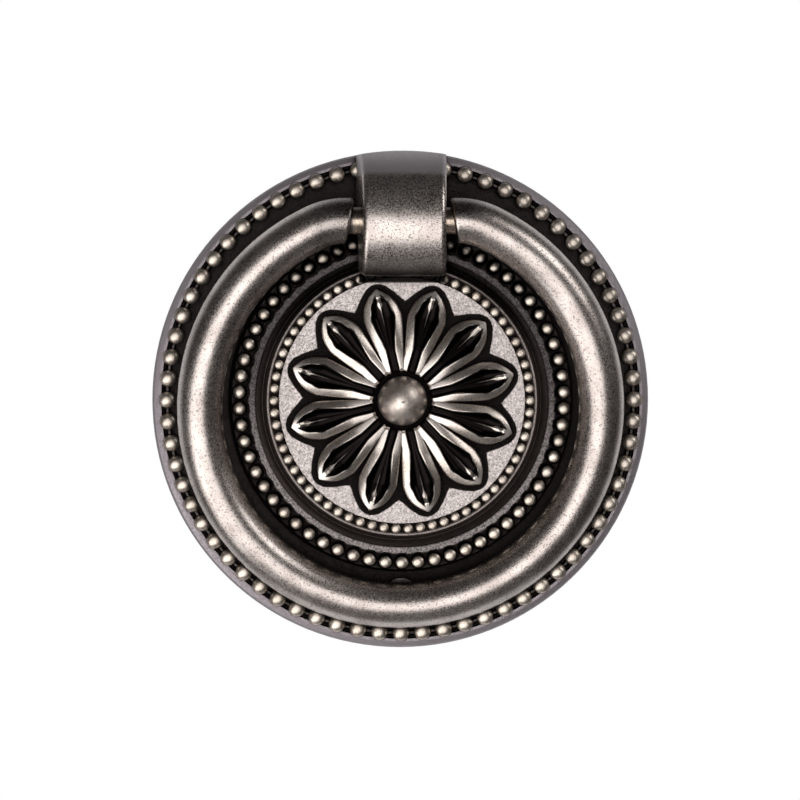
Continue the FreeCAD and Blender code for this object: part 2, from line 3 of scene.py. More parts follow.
import bmesh
import bpy
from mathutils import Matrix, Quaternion, Vector


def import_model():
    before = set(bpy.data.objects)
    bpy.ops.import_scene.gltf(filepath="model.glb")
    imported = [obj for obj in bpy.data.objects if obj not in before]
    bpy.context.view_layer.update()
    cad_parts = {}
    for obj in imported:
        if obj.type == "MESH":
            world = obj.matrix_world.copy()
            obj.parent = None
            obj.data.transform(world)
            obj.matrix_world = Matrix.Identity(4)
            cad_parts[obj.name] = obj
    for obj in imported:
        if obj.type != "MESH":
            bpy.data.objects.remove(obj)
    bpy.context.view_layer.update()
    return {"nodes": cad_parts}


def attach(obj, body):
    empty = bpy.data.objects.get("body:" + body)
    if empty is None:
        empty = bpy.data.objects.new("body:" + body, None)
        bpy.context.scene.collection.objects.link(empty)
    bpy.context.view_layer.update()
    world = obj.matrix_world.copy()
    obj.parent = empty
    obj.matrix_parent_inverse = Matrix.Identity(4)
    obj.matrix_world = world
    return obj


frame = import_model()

scene = bpy.context.scene
MM = 0.001


# Camera
AIM = Vector((-0.05, -1.0, -0.09)) * MM
CAMERA_AZIMUTH, CAMERA_ELEVATION, CAMERA_DISTANCE = -2.4, 1.7, 750 * MM
PICTURE_WIDTH = 103.3 * MM  # seen across the picture at the plate's rim

# Oval lamps: name, azimuth, elevation, width and height in metres, brightness, colour, roll
LAMP_DISTANCE = 0.9
LAMPS = (
    ("front", -18, -15, 1.40, 0.72, 2.35, (1.0, 0.975, 0.95), 21),
    ("lower_left", -58, -36, 0.46, 0.46, 2.0, (1.0, 0.975, 0.95), 0),
    ("upper_right", 54, 28, 0.44, 0.44, 3.0, (1.0, 0.98, 0.95), 0),
)

# Floor and room
FLOOR_RADIUS, FLOOR_PLACE, FLOOR_TONE = 150 * MM, Vector((0, -10, -220)) * MM, 0.80
FLOOR_WHITE_TO_CAMERA = 0.85
ROOM_COLOUR, ROOM_STRENGTH = (1.0, 0.93, 0.90, 1), 0.05
WHITE = (1, 1, 1, 1)

# Colours, linear
BLACK = (0.0055, 0.0042, 0.0042, 1)
BROWN = (0.060, 0.050, 0.047, 1)
SILVER = (0.62, 0.565, 0.54, 1)
SILVER_DULL = (0.39, 0.34, 0.322, 1)
WARM = (0.78, 0.71, 0.655, 1)
WARM_DULL = (0.52, 0.46, 0.42, 1)
BRIGHT = (0.93, 0.87, 0.83, 1)
CREAM = (0.82, 0.745, 0.66, 1)
CREAM_DULL = (0.56, 0.485, 0.42, 1)
# painted reflection: the lilac of the pale surroundings on the rim's steep side
RIM_REFLECTION_LILAC = (0.40, 0.365, 0.395, 1)
NECK_BROWN = (0.74, 0.62, 0.51, 1)
CREST_LIGHT = (0.17, 0.154, 0.152, 1)
# painted reflection: the light from above on the lug's upward-facing top
LUG_TOP_REFLECTION = (0.52, 0.49, 0.515, 1)
COVE_BROWN = (0.15, 0.128, 0.120, 1)
STONE = (0.57, 0.52, 0.51, 1)
STONE_DARK = (0.30, 0.272, 0.268, 1)

# Spot sizes of the finish in millimetres, and a seed for each kind of spot
CLOUD_SIZE, GRAIN_SIZE, SPECK_SIZE, STAIN_SIZE, STIPPLE_SIZE = 3.2, 0.17, 0.25, 2.0, 0.19
CLOUD_SEED, GRAIN_SEED, SPECK_SEED, STAIN_SEED, STIPPLE_SEED, BEAD_SEED = 1.0, 2.0, 3.0, 4.0, 5.0, 6.0
GRAIN_SPREAD = (0.38, 0.62)  # where the grain's noise mostly lies
BUMP_HEIGHT = 0.03 * MM

# Recesses that keep the black finish: radius band, depth band, share kept. Bands are from, to, softness
RECESSES = {
    "channel": ((20.3, 30.95, 0.15), (1.3, 2.17, 0.17), 0.97),
    "ledge": ((20.1, 22.4, 0.1), (1.3, 4.65, 0.15), 0.95),
    "cove": ((17.05, 18.75, 0.1), (4.7, 6.32, 0.08), 0.80),
    "bead_seat": ((15.72, 17.05, 0.05), (5.5, 6.1, 0.05), 0.98),
    "links": ((29.3, 30.8, 0.05), (1.3, 3.3, 0.05), 0.80),
}

# Bead rings, in millimetres. A crown is a superellipsoid of the given power on facets that carry it.
# Its finish wears from black_to up to bright_from, as shares of its rise above the centre.
BEADS = {
    "outer": {
        "count": 68, "circle": 30.1, "depth": 2.15, "radius": 1.07 * 1.032, "phase": 0.0, "power": 2.7,
        "sides": 20, "rows": 11, "rise": 1.1, "black_to": 0.0, "bright_from": 0.45, "rough": 0.34,
    },
    "middle": {
        "count": 62, "circle": 20.85, "depth": 4.7, "radius": 0.95 * 1.045, "phase": 0.0, "power": 2.6,
        "sides": 18, "rows": 10, "rise": 1.0, "black_to": 0.60, "bright_from": 0.92, "rough": 0.33,
    },
    "fine": {
        "count": 66, "circle": 16.45, "depth": 6.0, "radius": 0.625, "phase": 0.5, "power": 4.0,
        "sides": 16, "rows": 10, "rise": 0.62, "black_to": 0.15, "bright_from": 0.45, "rough": 0.38,
    },
}
BEAD_FOOT = -18.0  # latitude where a crown starts, degrees

# Petals, in millimetres and degrees
PETALS = {
    "count": 12, "turn": -13.3, "disc": 6.2, "height": 1.75, "crown": 4.0, "bow": 20.5, "crest": 8.6,
    "root": 3.9, "tip": 14.6, "shoulder": 10.8, "half": 2.45, "slot": 0.12, "nose": 0.38,
    "scoop_root": 3.5, "scoop_neck": 6.6, "scoop_belly": 11.0, "scoop_shoulder": 12.9, "scoop_tip": 14.0,
    "scoop_throat": 0.40, "scoop_radius": 1.0, "scoop_split": 0.16, "scoop_spread": 0.48, "scoop_sink": 0.3,
}
PETAL_ROWS, PETAL_COLUMNS = 64, 48
PETAL_PROUD = 0.06  # surface over the solid's petal
PETAL_FOOT = 0.05  # foot of a petal below the disc's face
PETAL_JOIN = (5.9, 5.2)  # neighbours grow together on the way in to the dome
LOBE_RISE = (7.6, 6.3)  # where the lobes rise on the way in to the dome

# Half width of the black border round a petal, at places along it
BORDER = (
    (10.0, 4.0), (12.4, 3.3), (12.8, 2.95), (13.2, 2.68), (13.6, 2.4), (13.9, 2.16), (14.2, 1.9),
    (14.5, 1.6), (14.8, 1.33), (15.0, 1.0), (15.15, 0.72), (15.3, 0.25), (15.4, 0.0),
)


def towards(azimuth, elevation):
    """Unit vector from the object to a place in front of it."""
    az, el = math.radians(azimuth), math.radians(elevation)
    return Vector((math.sin(az) * math.cos(el), -math.cos(az) * math.cos(el), math.sin(el)))


def place_camera():
    """The photograph's viewing angle and framing."""
    back = towards(CAMERA_AZIMUTH, CAMERA_ELEVATION)
    data = bpy.data.cameras.new("camera")
    cam = bpy.data.objects.new("camera", data)
    scene.collection.objects.link(cam)
    cam.location = AIM + back * CAMERA_DISTANCE
    cam.rotation_euler = (-back).to_track_quat("-Z", "Y").to_euler()
    data.lens = data.sensor_width * CAMERA_DISTANCE / PICTURE_WIDTH
    data.clip_start = 0.01
    data.clip_end = 10
    data.dof.use_dof = False
    scene.camera = cam


# Node helpers
class Nodes:
    """Short forms for building a node tree. Lengths are given in millimetres."""

    def __init__(self, tree):
        self.tree = tree
        tree.nodes.clear()

    def add(self, kind, **values):
        node = self.tree.nodes.new(kind)
        for key, value in values.items():
            setattr(node, key, value)
        return node

    def put(self, socket, value):
        if isinstance(value, bpy.types.NodeSocket):
            self.tree.links.new(value, socket)
        else:
            socket.default_value = value

    def math(self, op, a, b=None):
        node = self.add("ShaderNodeMath", operation=op)
        self.put(node.inputs[0], a)
        if b is not None:
            self.put(node.inputs[1], b)
        return node.outputs[0]

    def chain(self, op, values):
        """The same operation over several values, from left to right."""
        result = values[0]
        for value in values[1:]:
            result = self.math(op, result, value)
        return result

    def times(self, *values):
        return self.chain("MULTIPLY", values)

    def total(self, *values):
        return self.chain("ADD", values)

    def most(self, *values):
        return self.chain("MAXIMUM", values)

    def less(self, a, b):
        return self.math("SUBTRACT", a, b)

    def size(self, value):
        return self.math("ABSOLUTE", value)

    def flip(self, value):
        return self.math("SUBTRACT", 1.0, value)

    def ramp(self, value, low, high, out_low=0.0, out_high=1.0):
        """Smooth change between two places, level outside them; from 0 to 1 if nothing else is said."""
        node = self.add("ShaderNodeMapRange", interpolation_type="SMOOTHSTEP")
        self.put(node.inputs["Value"], value)
        limits = {"From Min": low, "From Max": high, "To Min": out_low, "To Max": out_high}
        for name, number in limits.items():
            self.put(node.inputs[name], number)
        return node.outputs[0]

    def fall(self, value, low, high):
        """Smooth fall from 1 to 0 between two places."""
        return self.ramp(value, low, high, 1.0, 0.0)

    def band(self, value, low, high, soft):
        """One between two values, zero outside, with soft ends."""
        start = self.ramp(value, low - soft, low + soft)
        return self.times(start, self.fall(value, high - soft, high + soft))

    def mix(self, factor, a, b):
        node = self.add("ShaderNodeMix", data_type="RGBA")
        self.put(node.inputs[0], factor)
        self.put(node.inputs[6], a)
        self.put(node.inputs[7], b)
        return node.outputs[2]

    def noise(self, vector, grain, detail=2.0, seed=0.0):
        """Noise whose coarsest spots are about the given size in millimetres."""
        node = self.add("ShaderNodeTexNoise", noise_dimensions="4D")
        self.put(node.inputs["Vector"], vector)
        node.inputs["W"].default_value = seed
        node.inputs["Scale"].default_value = 1.0 / grain
        node.inputs["Detail"].default_value = detail
        return node.outputs["Fac"]

    def occlusion(self, distance):
        """How open a place is within the given distance."""
        node = self.add("ShaderNodeAmbientOcclusion", samples=6)
        node.inputs["Distance"].default_value = distance * MM
        return node.outputs["AO"]

    def place(self):
        """Object coordinates in millimetres: the vector, across, up, radius and depth from the back."""
        scaled = self.add("ShaderNodeVectorMath", operation="SCALE")
        self.put(scaled.inputs[0], self.add("ShaderNodeTexCoord").outputs["Object"])
        scaled.inputs["Scale"].default_value = 1000.0
        split = self.add("ShaderNodeSeparateXYZ")
        self.put(split.inputs[0], scaled.outputs[0])
        x, y, z = split.outputs
        radius = self.math("SQRT", self.total(self.times(x, x), self.times(z, z)))
        return scaled.outputs[0], x, z, radius, self.math("MULTIPLY", y, -1.0)


# Metal finish
def new_material(name):
    mat = bpy.data.materials.new(name)
    mat.use_nodes = True
    return mat, Nodes(mat.node_tree)


def finish(n, colour, rough, height, bevel=0.10, strength=0.60):
    """The shader that every metal surface shares."""
    out = n.add("ShaderNodeOutputMaterial")
    bsdf = n.add("ShaderNodeBsdfPrincipled")
    n.put(out.inputs["Surface"], bsdf.outputs[0])
    rounded = n.add("ShaderNodeBevel", samples=4)
    rounded.inputs["Radius"].default_value = bevel * MM
    bump = n.add("ShaderNodeBump")
    bump.inputs["Strength"].default_value = strength
    bump.inputs["Distance"].default_value = BUMP_HEIGHT
    n.put(bump.inputs["Height"], height)
    n.put(bump.inputs["Normal"], rounded.outputs[0])
    n.put(bsdf.inputs["Normal"], bump.outputs[0])
    n.put(bsdf.inputs["Base Color"], colour)
    n.put(bsdf.inputs["Roughness"], rough)
    bsdf.inputs["Metallic"].default_value = 1.0


def metal(n, place, bright, dull, speck_amount):
    """Plated surface: cloudy tone, fine grain and small dark pits. Gives colour, grain and pits."""
    cloud = n.noise(place, CLOUD_SIZE, 3.0, CLOUD_SEED)
    grain = n.noise(place, GRAIN_SIZE, 2.0, GRAIN_SEED)
    specks = n.noise(place, SPECK_SIZE, 3.0, SPECK_SEED)
    tone = n.mix(n.ramp(n.total(n.times(cloud, 0.5), n.times(grain, 0.5)), 0.36, 0.60), dull, bright)
    pits = n.times(n.fall(specks, 0.36, 0.43), speck_amount)
    return n.mix(pits, tone, BROWN), grain, pits


def patchy(n, value, noise, amount):
    """A value made uneven by noise."""
    return n.total(value, n.times(n.less(noise, 0.5), amount))


def worn(n, cloud, near, far):
    """How far the black finish is rubbed away, from how open a place is."""
    return n.times(n.ramp(patchy(n, near, cloud, 0.3), 0.45, 0.90), n.ramp(far, 0.20, 0.60))


# Plate
def plate_material():
    """Bright where the plate stands proud, black in its recesses, with a stippled disc and a satin rim;
    painted lilac reflections on the rim and the lug's top, and painted shade on and below the lug's lower
    edge.
    """
    mat, n = new_material("antique_silver_plate")
    place, x, z, radius, depth = n.place()
    colour, grain, pits = metal(n, place, SILVER, SILVER_DULL, 0.6)
    cloud = n.noise(place, STAIN_SIZE, 2.0, STAIN_SEED)
    rubbed = worn(n, cloud, n.occlusion(0.9), n.occlusion(3.5))

    # the rim has a cooler satin finish; its lilac colour is a painted reflection of the pale surroundings
    # seen at a grazing angle
    rim = n.times(n.ramp(radius, 30.6, 31.0), n.ramp(depth, 0.05, 0.2), n.fall(depth, 3.2, 4.6))
    colour = n.mix(rim, colour, RIM_REFLECTION_LILAC)

    # stippled disc and the crest of the scalloped ridge, whose light top is darker towards the top of the
    # plate
    stipple = n.noise(place, STIPPLE_SIZE, 3.0, STIPPLE_SEED)
    face = n.band(depth, 6.1, 6.3, 0.03)
    disc = n.times(face, n.fall(radius, 15.7, 15.9))
    colour = n.mix(disc, colour, n.mix(n.ramp(stipple, 0.38, 0.60), STONE_DARK, STONE))
    crest = n.times(face, n.band(radius, 17.5, 21.8, 0.05))
    lit = n.times(n.band(radius, 18.9, 19.65, 0.15), n.ramp(stipple, 0.36, 0.58, 0.35, 1.0))
    lit = n.times(lit, n.ramp(z, -14.0, 6.0, 1.0, 0.3))
    colour = n.mix(crest, colour, n.mix(lit, BLACK, CREST_LIGHT))

    # top of the lug, given a painted lilac reflection of the light from above, and the button in the middle
    shoulder = n.times(n.ramp(z, 28.5, 29.5), n.ramp(depth, 4.0, 4.6))
    colour = n.mix(shoulder, colour, LUG_TOP_REFLECTION)
    dome = n.times(n.fall(radius, 3.3, 3.6), n.ramp(depth, 6.9, 7.6))
    colour = n.mix(dome, colour, n.mix(n.ramp(cloud, 0.35, 0.6), WARM_DULL, WARM))

    # the cove stays brown, and goes black beside the lug
    shown = n.times(rubbed, n.flip(black_finish_and_painted_shade(n, x, z, radius, depth)))
    brown = n.times(recess(n, "cove", radius, depth), n.ramp(z, 4.0, 14.0, 1.0, 0.2))
    colour = n.mix(shown, n.mix(brown, BLACK, COVE_BROWN), colour)

    satin = n.total(n.times(dome, 0.12), n.times(disc, 0.08), n.times(n.most(shoulder, rim), 0.28))
    rough = n.total(n.ramp(grain, *GRAIN_SPREAD, 0.0, 0.17), 0.22, satin, n.times(n.flip(shown), 0.12))
    height = n.total(n.less(n.times(grain, 0.5), n.times(pits, 0.8)), n.times(stipple, disc, 1.5))
    finish(n, colour, rough, height)
    return mat


def recess(n, name, radius, depth):
    """One in a named recess of the plate, zero outside."""
    across, deep, _ = RECESSES[name]
    return n.times(n.band(radius, *across), n.band(depth, *deep))


def black_finish_and_painted_shade(n, x, z, radius, depth):
    """Where the plate is black whatever its openness says: the black finish in its recesses and petals, and
    painted shade on the lug's lower edge and below the lug.
    """
    hollows = [n.times(recess(n, name, radius, depth), RECESSES[name][2]) for name in RECESSES]
    pad = n.times(n.fall(z, -22.7, -22.5), n.band(radius, 22.5, 27.6, 0.1), n.band(depth, 1.3, 4.0, 0.2))
    # painted shade: the lug's lower edge, which faces down, is painted black
    lug_underside_shade = n.times(n.fall(z, 16.1, 17.9), n.ramp(depth, 7.5, 8.0), n.ramp(z, 12.0, 13.0))
    # painted shadow: the recess right below the lug is painted black
    lug_shadow = shadow_under_lug(n, x, z, depth)
    hollow, vein, border = petal_masks(n, x, z)
    on_petal = n.times(n.fall(radius, 14.3, 14.5), n.ramp(depth, 6.25, 6.35))
    on_disc = n.times(n.fall(radius, 15.5, 15.6), n.fall(depth, 6.25, 6.35), n.ramp(depth, 5.9, 6.0))
    carved = n.most(n.times(on_petal, hollow, n.flip(vein)), n.times(border, on_disc, 0.99))
    return n.most(*hollows, n.times(lug_shadow, 0.98), n.times(lug_underside_shade, 0.95), n.times(pad, 0.75), carved)


def shadow_under_lug(n, x, z, depth):
    """Painted shadow: the recess right below the lug, painted black where the lug's shadow falls."""
    below = n.times(n.fall(n.size(x), 5.4, 5.9), n.ramp(z, 14.95, 15.25), n.fall(z, 17.5, 18.0))
    return n.times(below, n.ramp(depth, 4.6, 4.8), n.fall(depth, 7.0, 7.4))


# Ring
def ring_material():
    """Burnished bar, brown where it is hidden, with brown necks, and darker beside the lug on its upper side
    and at its left end.
    """
    mat, n = new_material("antique_silver_ring")
    place, x, z, _, _ = n.place()
    colour, grain, pits = metal(n, place, SILVER, SILVER_DULL, 0.5)
    near, far = n.occlusion(1.0), n.occlusion(6.0)
    shown = worn(n, n.noise(place, STAIN_SIZE, 2.0, STAIN_SEED), near, n.less(far, 0.12))
    beside_lug = n.ramp(z, 18.0, 19.0)
    neck = n.times(n.fall(n.size(x), 6.4, 6.7), beside_lug)
    colour = n.mix(neck, colour, NECK_BROWN)
    shown = n.most(shown, n.times(neck, 0.6))
    # darker on the bar's upper side near the lug, and at its left end beside the lug
    upper_side = n.times(n.fall(n.size(x), 7.0, 14.0), n.ramp(z, 22.9, 24.4))
    left_end = n.times(n.band(x, -11.5, -6.8, 0.8), beside_lug)
    darker_near_lug = n.times(n.most(upper_side, n.times(left_end, 0.55)), n.ramp(grain, 0.3, 0.7, 1.0, 0.65))
    colour = n.mix(n.times(shown, n.flip(darker_near_lug)), BROWN, colour)
    rough = n.total(n.ramp(grain, *GRAIN_SPREAD, 0.0, 0.11), 0.26)
    finish(n, colour, rough, n.less(n.times(grain, 0.5), n.times(pits, 0.8)))
    return mat


# Pieces that ride on the plate
def smooth_piece(name, bm, material):
    bmesh.ops.recalc_face_normals(bm, faces=bm.faces)
    mesh = bpy.data.meshes.new(name)
    bm.to_mesh(mesh)
    bm.free()
    for face in mesh.polygons:
        face.use_smooth = True
    mesh.materials.append(material)
    piece = bpy.data.objects.new(name, mesh)
    scene.collection.objects.link(piece)
    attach(piece, "backplate")
    return piece


def grid_faces(bm, low, high, closed=False):
    """Four-sided faces between two rows of corners."""
    for j in range(len(low) if closed else len(low) - 1):
        k = (j + 1) % len(low)
        bm.faces.new((low[j], low[k], high[k], high[j]))


# Beads
def bead_material(name, bead):
    """Rubbed bright on its crown and black down its sides, darker towards the top of the plate, and painted
    black below the lug for the lug's shadow.
    """
    mat, n = new_material(name)
    place, x, z, _, depth = n.place()
    colour, grain, _ = metal(n, place, CREAM, CREAM_DULL, 0.3)
    rise = n.math("DIVIDE", n.less(depth, bead["depth"]), bead["rise"])
    rise = n.less(rise, n.ramp(z, 2.0, 26.0, 0.0, 0.3))
    rise = patchy(n, rise, n.noise(place, 1.1, 2.0, BEAD_SEED), 0.5)
    # beads right below the lug get painted shadow, black
    shown = n.times(n.ramp(rise, bead["black_to"], bead["bright_from"]), n.flip(shadow_under_lug(n, x, z, depth)))
    rough = n.total(n.times(grain, 0.12), bead["rough"])
    finish(n, n.mix(shown, BLACK, colour), rough, n.times(grain, 0.5), bevel=0.02)
    return mat


def bead_crown(bm, centre, bead):
    """One rounded crown, from its foot up to its tip."""
    power, sides, rows = bead["power"], bead["sides"], bead["rows"]
    previous = None
    for row in range(rows):
        latitude = math.radians(BEAD_FOOT + (90 - BEAD_FOOT) * row / (rows - 1))
        c, s = math.cos(latitude), math.sin(latitude)
        swell = bead["radius"] / (abs(c) ** power + abs(s) ** power) ** (1 / power)
        if row == rows - 1:
            tip = bm.verts.new((centre + Vector((0, -swell, 0))) * MM)
            for i in range(sides):
                bm.faces.new((previous[i], previous[(i + 1) % sides], tip))
            continue
        level = []
        for i in range(sides):
            turn = 2 * math.pi * i / sides
            spot = Vector((swell * c * math.cos(turn), -swell * s, swell * c * math.sin(turn)))
            level.append(bm.verts.new((centre + spot) * MM))
        if previous:
            grid_faces(bm, previous, level, closed=True)
        previous = level


def bead_ring(name):
    """The round crowns of one ring of beads, over the facets that carry them."""
    bead = BEADS[name]
    bm = bmesh.new()
    for k in range(bead["count"]):
        angle = 2 * math.pi * (k + bead["phase"]) / bead["count"]
        circle = bead["circle"]
        bead_crown(bm, Vector((circle * math.sin(angle), -bead["depth"], circle * math.cos(angle))), bead)
    smooth_piece(name + "_beads", bm, bead_material(name + "_bead_metal", bead))


# Petal shape
def between(table, at):
    """Straight interpolation in a short table of (place, value, ...)."""
    for low, high in zip(table, table[1:]):
        if at <= high[0]:
            share = max(0.0, (at - low[0]) / (high[0] - low[0]))
            return [a + (b - a) * share for a, b in zip(low[1:], high[1:])]
    return list(table[-1][1:])


def smooth_step(start, stop, value):
    """Rises from 0 at start to 1 at stop, also where stop is the smaller."""
    t = min(1.0, max(0.0, (value - start) / (stop - start)))
    return t * t * (3 - 2 * t)


def scoop_at(along):
    """Radius and offset of a petal's hollows at a distance from the middle."""
    p = PETALS
    return between([
        (p["scoop_root"], p["scoop_throat"], p["scoop_split"]),
        (p["scoop_neck"], p["scoop_throat"], p["scoop_split"]),
        (p["scoop_belly"], p["scoop_radius"], p["scoop_spread"]),
        (p["scoop_shoulder"], p["scoop_radius"] * 0.76, p["scoop_spread"] * 0.76),
        (p["scoop_tip"], 0.0, p["scoop_split"]),
    ], along)


def border_half_width(along):
    """Half width of the black border round a petal, which hides the disc between neighbours."""
    return between(BORDER, along)[0]


def arc_half_width(p, q, r, along):
    """Half width at a place, on the circle through three points (half width, place)."""
    ax, ay, bx, by, cx, cy = *p, *q, *r
    d = 2 * (ax * (by - cy) + bx * (cy - ay) + cx * (ay - by))
    sa, sb, sc = ax * ax + ay * ay, bx * bx + by * by, cx * cx + cy * cy
    ux = (sa * (by - cy) + sb * (cy - ay) + sc * (ay - by)) / d
    uy = (sa * (cx - bx) + sb * (ax - cx) + sc * (bx - ax)) / d
    reach = math.hypot(ax - ux, ay - uy)
    side = 1 if bx > ux else -1
    return ux + side * math.sqrt(max(0.0, reach * reach - (along - uy) ** 2))


def petal_half_width(along):
    """Half width of the solid's petal: an arc to the shoulder, an arc to the nose, and a blunt tip."""
    p = PETALS
    half_pitch = math.pi / p["count"]
    narrow = p["root"] * math.tan(half_pitch) - p["slot"]
    middle = (p["root"] + p["shoulder"]) / 2
    swell = middle * math.tan(half_pitch) - p["slot"] * 1.4
    end = p["tip"] - p["nose"] / 2
    knee = p["shoulder"] + 0.6 * (p["tip"] - p["shoulder"])
    if along <= p["shoulder"]:
        return arc_half_width((narrow, p["root"]), (swell, middle), (p["half"], p["shoulder"]), along)
    if along <= end:
        return arc_half_width((p["half"], p["shoulder"]), (p["half"] * 0.7, knee), (p["nose"], end), along)
    return p["nose"] * math.sqrt(max(0.0, (p["tip"] - along) / (p["tip"] - end)))


def petal_crown(along, across):
    """Depth of a petal's unhollowed back, bowed along and rounded across."""
    p = PETALS
    tube = p["bow"] - p["crown"] + math.sqrt(p["crown"] ** 2 - across ** 2)
    return p["disc"] + p["height"] - p["bow"] + math.sqrt(tube ** 2 - (along - p["crest"]) ** 2)


def petal_depth(along, across):
    """Depth of a petal's carved face at a place."""
    p = PETALS
    top = petal_crown(along, across)
    lobe = p["disc"] + p["height"] - 0.10 - across * across / 16
    top += smooth_step(*LOBE_RISE, along) * 0.7 * (lobe - top) + PETAL_PROUD
    radius, offset = scoop_at(along)
    radius *= 0.93
    run = abs(abs(across) - offset)
    if p["scoop_root"] < along < p["scoop_tip"] and run < radius:
        axis = p["disc"] + p["height"] - p["scoop_sink"]
        top = min(top, axis + PETAL_PROUD - math.sqrt(radius * radius - run * run))
        if abs(across) < 0.24 and along > 12.1:  # the wedge that comes down from the tip
            top = max(top, petal_crown(p["scoop_tip"], 0) + PETAL_PROUD - 0.22 * (p["scoop_tip"] - along))
    return top


def soften(heights):
    """One pass that rounds the edges of a grid of heights."""
    rows, columns = len(heights), len(heights[0])
    result = []
    for i in range(rows):
        line = []
        for j in range(columns):
            left, right = heights[i][max(j - 1, 0)], heights[i][min(j + 1, columns - 1)]
            back, front = heights[max(i - 1, 0)][j], heights[min(i + 1, rows - 1)][j]
            line.append(0.5 * heights[i][j] + 0.125 * (left + right + back + front))
        result.append(line)
    return result


def rounded_edge(along, across, half, last):
    """How far the face falls where it rounds over its side or tip."""
    edge = 0.20 - 0.15 * smooth_step(*PETAL_JOIN, along)
    inset = min(half - abs(across), last - along + edge * 0.35)
    if inset >= edge:
        return 0.0
    return edge - math.sqrt(max(0.0, edge ** 2 - (edge - inset) ** 2))


def petal_rows():
    """One petal as rows of (along, across, depth), each from foot to foot over the face."""
    p = PETALS
    first, last = p["root"] - 0.15, p["tip"] + 0.04
    shares = [math.sin(math.pi / 2 * i / PETAL_ROWS) ** 0.9 for i in range(PETAL_ROWS + 1)]
    lengths = [first + (last - first) * share for share in shares]
    halves = []
    for u in lengths:
        half = petal_half_width(min(u, p["tip"] - 0.01))
        halves.append(half + 0.07 + 0.06 * smooth_step(*PETAL_JOIN, u))
    spots = [[half * (2 * j / PETAL_COLUMNS - 1) for j in range(PETAL_COLUMNS + 1)] for half in halves]
    heights = [[petal_depth(u, v) for v in line] for u, line in zip(lengths, spots)]
    for _ in range(2):
        heights = soften(heights)
    foot = p["disc"] - PETAL_FOOT
    rows = []
    for u, half, line, tops in zip(lengths, halves, spots, heights):
        face = [(u, v, top - rounded_edge(u, v, half, last)) for v, top in zip(line, tops)]
        rows.append([(u, -half, foot)] + face + [(u, half, foot)])
    return rows


def petal_piece(material):
    """Twelve petals with a rounded rim, a smooth hollow and a fine vein."""
    p = PETALS
    rows = petal_rows()
    foot_depth = p["disc"] - PETAL_FOOT
    bm = bmesh.new()
    for k in range(p["count"]):
        angle = math.radians(p["turn"]) + 2 * math.pi * k / p["count"]
        c, s = math.cos(angle), math.sin(angle)

        def corner(u, v, depth):
            return bm.verts.new(Vector((u * s + v * c, -depth, u * c - v * s)) * MM)

        grid = [[corner(*spot) for spot in row] for row in rows]
        for end in (0, -1):
            inner = [corner(u, v, foot_depth) for u, v, _ in rows[end][2:-2]]
            foot = [grid[end][0]] + inner + [grid[end][-1]]
            grid_faces(bm, foot, grid[end][1:-1])
        for low, high in zip(grid, grid[1:]):
            grid_faces(bm, low, high)
    return smooth_piece("petals", bm, material)


# Petal finish
def curve_of(n, along, first, last, tall, shape, steps):
    """A value that follows shape(along) between two places, read from a curve node."""
    node = n.add("ShaderNodeFloatCurve")
    points = node.mapping.curves[0].points
    for k in range(steps + 1):
        spot = (k / steps, shape(first + (last - first) * k / steps) / tall)
        if k in (0, steps):
            points[0 if k == 0 else -1].location = spot
        else:
            points.new(*spot)
    node.mapping.update()
    n.put(node.inputs["Value"], n.math("DIVIDE", n.less(along, first), last - first))
    return n.times(node.outputs[0], tall)


def in_petal(n, x, z):
    """Distance along and across the nearest petal."""
    pitch = 2 * math.pi / PETALS["count"]
    angle = n.math("ARCTAN2", x, z)
    shifted = n.total(angle, pitch / 2 - math.radians(PETALS["turn"]) + 2 * math.pi)
    folded = n.less(n.math("MODULO", shifted, pitch), pitch / 2)
    radius = n.math("SQRT", n.total(n.times(x, x), n.times(z, z)))
    along = n.times(radius, n.math("COSINE", folded))
    across = n.size(n.times(radius, n.math("SINE", folded)))
    return along, across


def petal_masks(n, x, z):
    """Where a petal is hollowed, where the vein in that hollow is, and the black border round it."""
    along, across = in_petal(n, x, z)
    start, stop = PETALS["scoop_root"], PETALS["scoop_tip"]
    reach = curve_of(n, along, start, stop, 2.0, lambda u: sum(scoop_at(u)), 14)
    reach = n.total(reach, n.times(n.band(along, 8.6, 11.2, 0.8), 0.13))
    inside = n.ramp(n.less(reach, across), -0.13, 0.05)
    hollow = n.times(inside, n.fall(along, stop - 0.10, stop + 0.15), n.ramp(along, start - 0.1, start + 0.1))
    width = n.ramp(along, 11.8, 12.5, 0.05, 0.25)
    vein = n.times(n.ramp(n.less(width, across), -0.08, 0.08), n.ramp(along, 11.3, 12.6, 0.12, 1.0))
    vein = n.times(vein, n.ramp(along, 9.5, 10.8))
    first, last = BORDER[0][0], BORDER[-1][0]
    border = n.less(curve_of(n, along, first, last, BORDER[0][1], border_half_width, 27), across)
    border = n.times(n.ramp(border, -0.10, 0.10), n.fall(along, last - 0.2, last))
    return hollow, vein, border


def petal_material():
    """Bright lobes and tips, black hollows with a bright vein."""
    mat, n = new_material("antique_silver_petals")
    place, x, z, radius, depth = n.place()
    colour, grain, _ = metal(n, place, WARM, WARM_DULL, 0.35)
    rubbed = n.total(n.ramp(radius, 5.2, 7.2, 0.45, 0.0), n.ramp(radius, 13.3, 14.0, 0.0, 0.6))
    colour = n.mix(rubbed, colour, BRIGHT)
    cloud = n.noise(place, 1.6, 2.0, STAIN_SEED)
    shown = n.ramp(patchy(n, n.occlusion(0.7), cloud, 0.3), 0.35, 0.75)
    hollow, vein, _ = petal_masks(n, x, z)
    shown = n.times(shown, n.flip(n.times(hollow, n.flip(vein), 0.995)), n.ramp(depth, 6.5, 7.0))
    rough = n.total(n.times(grain, 0.12), 0.27)
    finish(n, n.mix(shown, BLACK, colour), rough, n.times(grain, 0.5), bevel=0.03)
    return mat


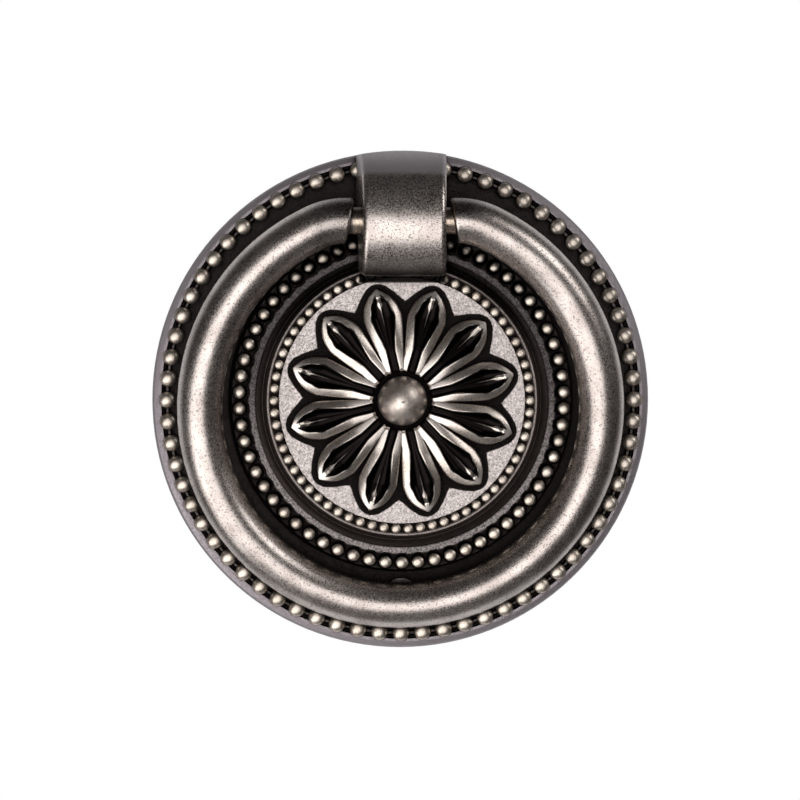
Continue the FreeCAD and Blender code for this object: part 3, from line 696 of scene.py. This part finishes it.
# Surroundings
def seen_in_metal(n, place, low, high, most):
    """Share of the white backdrop that the metal sees, which grows behind the handle."""
    path = n.add("ShaderNodeLightPath")
    split = n.add("ShaderNodeSeparateXYZ")
    n.put(split.inputs[0], n.add("ShaderNodeTexCoord").outputs[place])
    mirrored = n.most(path.outputs["Is Glossy Ray"], path.outputs["Is Transmission Ray"])
    return n.times(mirrored, n.ramp(split.outputs[1], low, high, 0.0, most)), path.outputs["Is Camera Ray"]


def blend(n, out, factor, first, second):
    """Mixes two shaders into an output."""
    mix = n.add("ShaderNodeMixShader")
    n.put(mix.inputs[0], factor)
    n.put(mix.inputs[1], first.outputs[0])
    n.put(mix.inputs[2], second.outputs[0])
    n.put(out.inputs["Surface"], mix.outputs[0])


def world():
    """Dim room, with a white backdrop that only the camera and the metal see."""
    studio = bpy.data.worlds.new("studio")
    scene.world = studio
    studio.use_nodes = True
    n = Nodes(studio.node_tree)
    room = n.add("ShaderNodeBackground")
    room.inputs["Color"].default_value = ROOM_COLOUR
    room.inputs["Strength"].default_value = ROOM_STRENGTH
    white = n.add("ShaderNodeBackground")
    white.inputs["Color"].default_value = WHITE
    white.inputs["Strength"].default_value = 1.0
    backdrop, to_camera = seen_in_metal(n, "Generated", 0.12, 0.65, 0.7)
    blend(n, n.add("ShaderNodeOutputWorld"), n.most(to_camera, backdrop), room, white)


def floor():
    """Pale disc below the handle."""
    bm = bmesh.new()
    bmesh.ops.create_circle(bm, cap_ends=True, segments=96, radius=FLOOR_RADIUS)
    mesh = bpy.data.meshes.new("floor")
    bm.to_mesh(mesh)
    bm.free()
    piece = bpy.data.objects.new("floor", mesh)
    scene.collection.objects.link(piece)
    piece.location = FLOOR_PLACE
    mesh.materials.append(floor_material())


def floor_material():
    """Pale floor; behind the handle the metal sees it as part of the white backdrop."""
    mat, n = new_material("floor")
    shader = n.add("ShaderNodeBsdfPrincipled")
    shader.inputs["Base Color"].default_value = (FLOOR_TONE, FLOOR_TONE, FLOOR_TONE, 1)
    shader.inputs["Roughness"].default_value = 0.8
    white = n.add("ShaderNodeEmission")
    white.inputs["Color"].default_value = WHITE
    white.inputs["Strength"].default_value = 1.0
    backdrop, to_camera = seen_in_metal(n, "Object", -5 * MM, 45 * MM, 0.8)
    factor = n.most(backdrop, n.times(to_camera, FLOOR_WHITE_TO_CAMERA))
    blend(n, n.add("ShaderNodeOutputMaterial"), factor, shader, white)
    return mat


def softbox(name, azimuth, elevation, width, height, brightness, colour, roll):
    """A soft oval lamp that faces the handle; brightness is what a mirror would show."""
    data = bpy.data.lights.new(name, "AREA")
    data.shape = "ELLIPSE"
    data.size, data.size_y = width, height
    data.energy = brightness * math.pi * (width * height * math.pi / 4)
    data.color = colour
    lamp = bpy.data.objects.new(name, data)
    scene.collection.objects.link(lamp)
    direction = towards(azimuth, elevation)
    lamp.location = direction * LAMP_DISTANCE
    aim = (-direction).to_track_quat("-Z", "Y")
    lamp.rotation_euler = (aim @ Quaternion((0, 0, 1), math.radians(roll))).to_euler()


place_camera()
world()
floor()
for lamp in LAMPS:
    softbox(*lamp)
scene.view_settings.view_transform = "Standard"

for node, mat in (("backplate", plate_material()), ("ring", ring_material())):
    for slot in frame["nodes"][node].material_slots:
        slot.material = mat
for name in BEADS:
    bead_ring(name)
petal_piece(petal_material())
